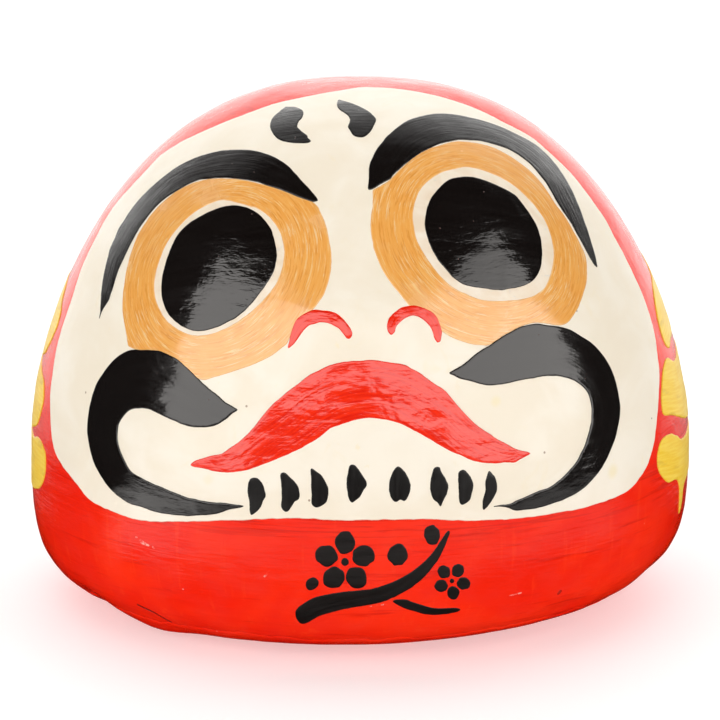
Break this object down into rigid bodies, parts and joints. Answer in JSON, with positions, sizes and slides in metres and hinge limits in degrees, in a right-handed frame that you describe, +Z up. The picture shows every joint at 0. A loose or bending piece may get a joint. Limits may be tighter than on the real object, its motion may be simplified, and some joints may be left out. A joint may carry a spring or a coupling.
{
  "type": "daruma doll",
  "caption": "Hollow papier-mache daruma doll with a painted whiskered face, a clay-weighted foot and a pasted seam up the back.",
  "frame": {"origin": "middle of the flat resting face under the foot", "axes": "+Z up, face towards -Y, +X to the right of someone looking at the face"},
  "size_m": [0.2106, 0.211, 0.163],
  "materials": {
    "red_paint": "gloss",
    "red_strip": "satin",
    "bare_paper": "matte",
    "grey_card": "matte",
    "clay": "matte",
    "cream_coat": "satin",
    "ochre_paint": "satin",
    "white_paint": "satin",
    "black_gloss": "gloss",
    "red_gloss": "gloss",
    "gold_paint": "satin",
    "black_matt": "matte"
  },
  "bodies": {
    "root": {"paper_shell": "red_paint", "back_seam_strip": "red_strip", "foot_band": "red_strip", "foot_paper": "bare_paper", "foot_card": "grey_card", "clay_weight": "clay", "face_coat": "cream_coat", "eye_ring_left": "ochre_paint", "eye_ring_right": "ochre_paint", "eye_white_left": "white_paint", "eye_white_right": "white_paint", "pupil_left": "black_gloss", "pupil_right": "black_gloss", "brow_left": "black_gloss", "brow_right": "black_gloss", "forehead_marks": "black_gloss", "nostril_left": "red_gloss", "nostril_right": "red_gloss", "mouth": "red_gloss", "moustache_left": "black_gloss", "moustache_right": "black_gloss", "chin_whiskers": "black_matt", "gold_strokes_left": "gold_paint", "gold_strokes_right": "gold_paint", "belly_branch": "black_matt", "belly_blossom": "black_matt"}
  },
  "joints": []
}
